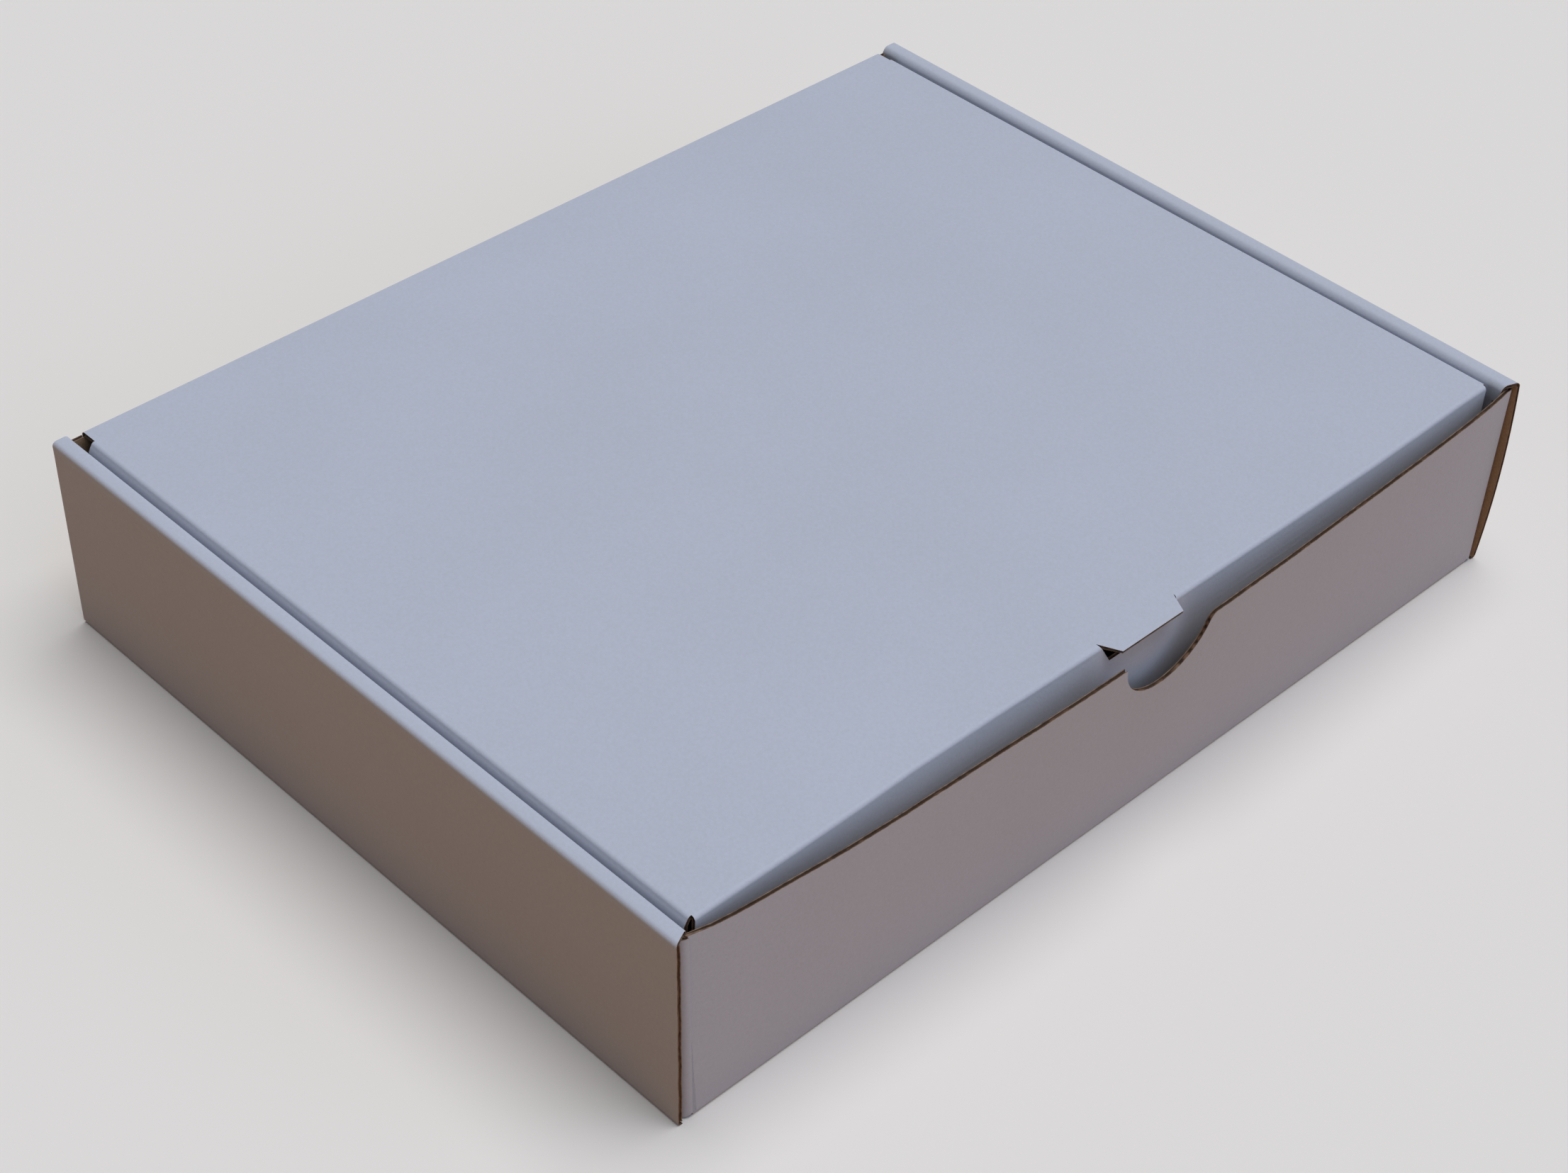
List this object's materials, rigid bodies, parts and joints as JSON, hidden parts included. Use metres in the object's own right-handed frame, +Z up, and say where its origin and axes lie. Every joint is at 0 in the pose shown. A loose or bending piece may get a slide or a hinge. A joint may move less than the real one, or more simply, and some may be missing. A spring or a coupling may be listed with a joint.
{
  "type": "corrugated mailer box",
  "caption": "Shallow roll-end mailer folded from one white-faced corrugated sheet, with double side walls, a hinged tuck-in lid and a thumb notch.",
  "frame": {"origin": "centre of the base's underside, between the base's four folds", "axes": "+X along the front wall to the right, -Y towards the front wall with the thumb notch, +Z up out of the base"},
  "size_m": [0.3209, 0.2493, 0.064],
  "materials": {
    "corrugated_board": "matt white outer liner, brown kraft inner liner and raw edges"
  },
  "bodies": {
    "tray": {"tray": "corrugated_board"},
    "lid": {"lid": "corrugated_board"}
  },
  "joints": [
    {"name": "lid_hinge", "type": "hinge", "parent": "tray", "child": "lid", "pos_m": [0, 0.1209, 0.0627], "axis": [-1, 0, 0], "range_deg": [0, 178]}
  ]
}
